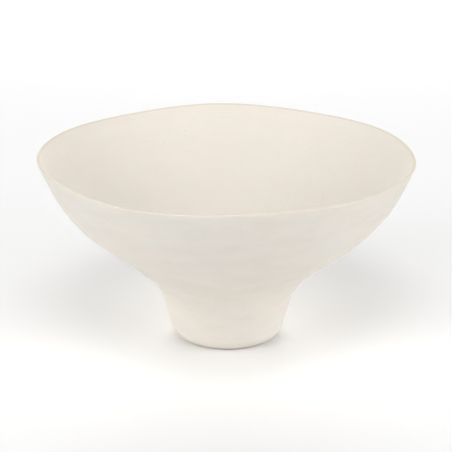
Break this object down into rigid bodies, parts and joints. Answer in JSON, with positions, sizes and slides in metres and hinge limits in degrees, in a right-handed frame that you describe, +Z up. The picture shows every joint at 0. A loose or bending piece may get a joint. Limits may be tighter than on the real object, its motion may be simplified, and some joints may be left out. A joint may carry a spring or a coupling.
{
  "type": "footed bowl",
  "caption": "Wide, thin-walled bowl in matte, warm-white, unglazed clay with a softly uneven lip, luted at the waist to a hollow foot that narrows to a closed, rounded base.",
  "frame": {"origin": "middle of the flat face that the foot rests on", "axes": "+Z up along the turning axis, +X to the right and -Y to the front of the view that the lip's waves are named from"},
  "size_m": [0.3201, 0.3206, 0.1665],
  "materials": {
    "bowl_clay": "matte, unglazed, fine turned rings inside, smoothed outside",
    "foot_clay": "matte, unglazed, smoothed",
    "coil_clay": "matte, unglazed, smoothed by thumb",
    "slip": "matte joining slip, fired"
  },
  "bodies": {
    "root": {"bowl": "bowl_clay", "foot": "foot_clay", "joining_slip": "slip", "outer_coil": "coil_clay", "inner_coil": "coil_clay"}
  },
  "joints": []
}
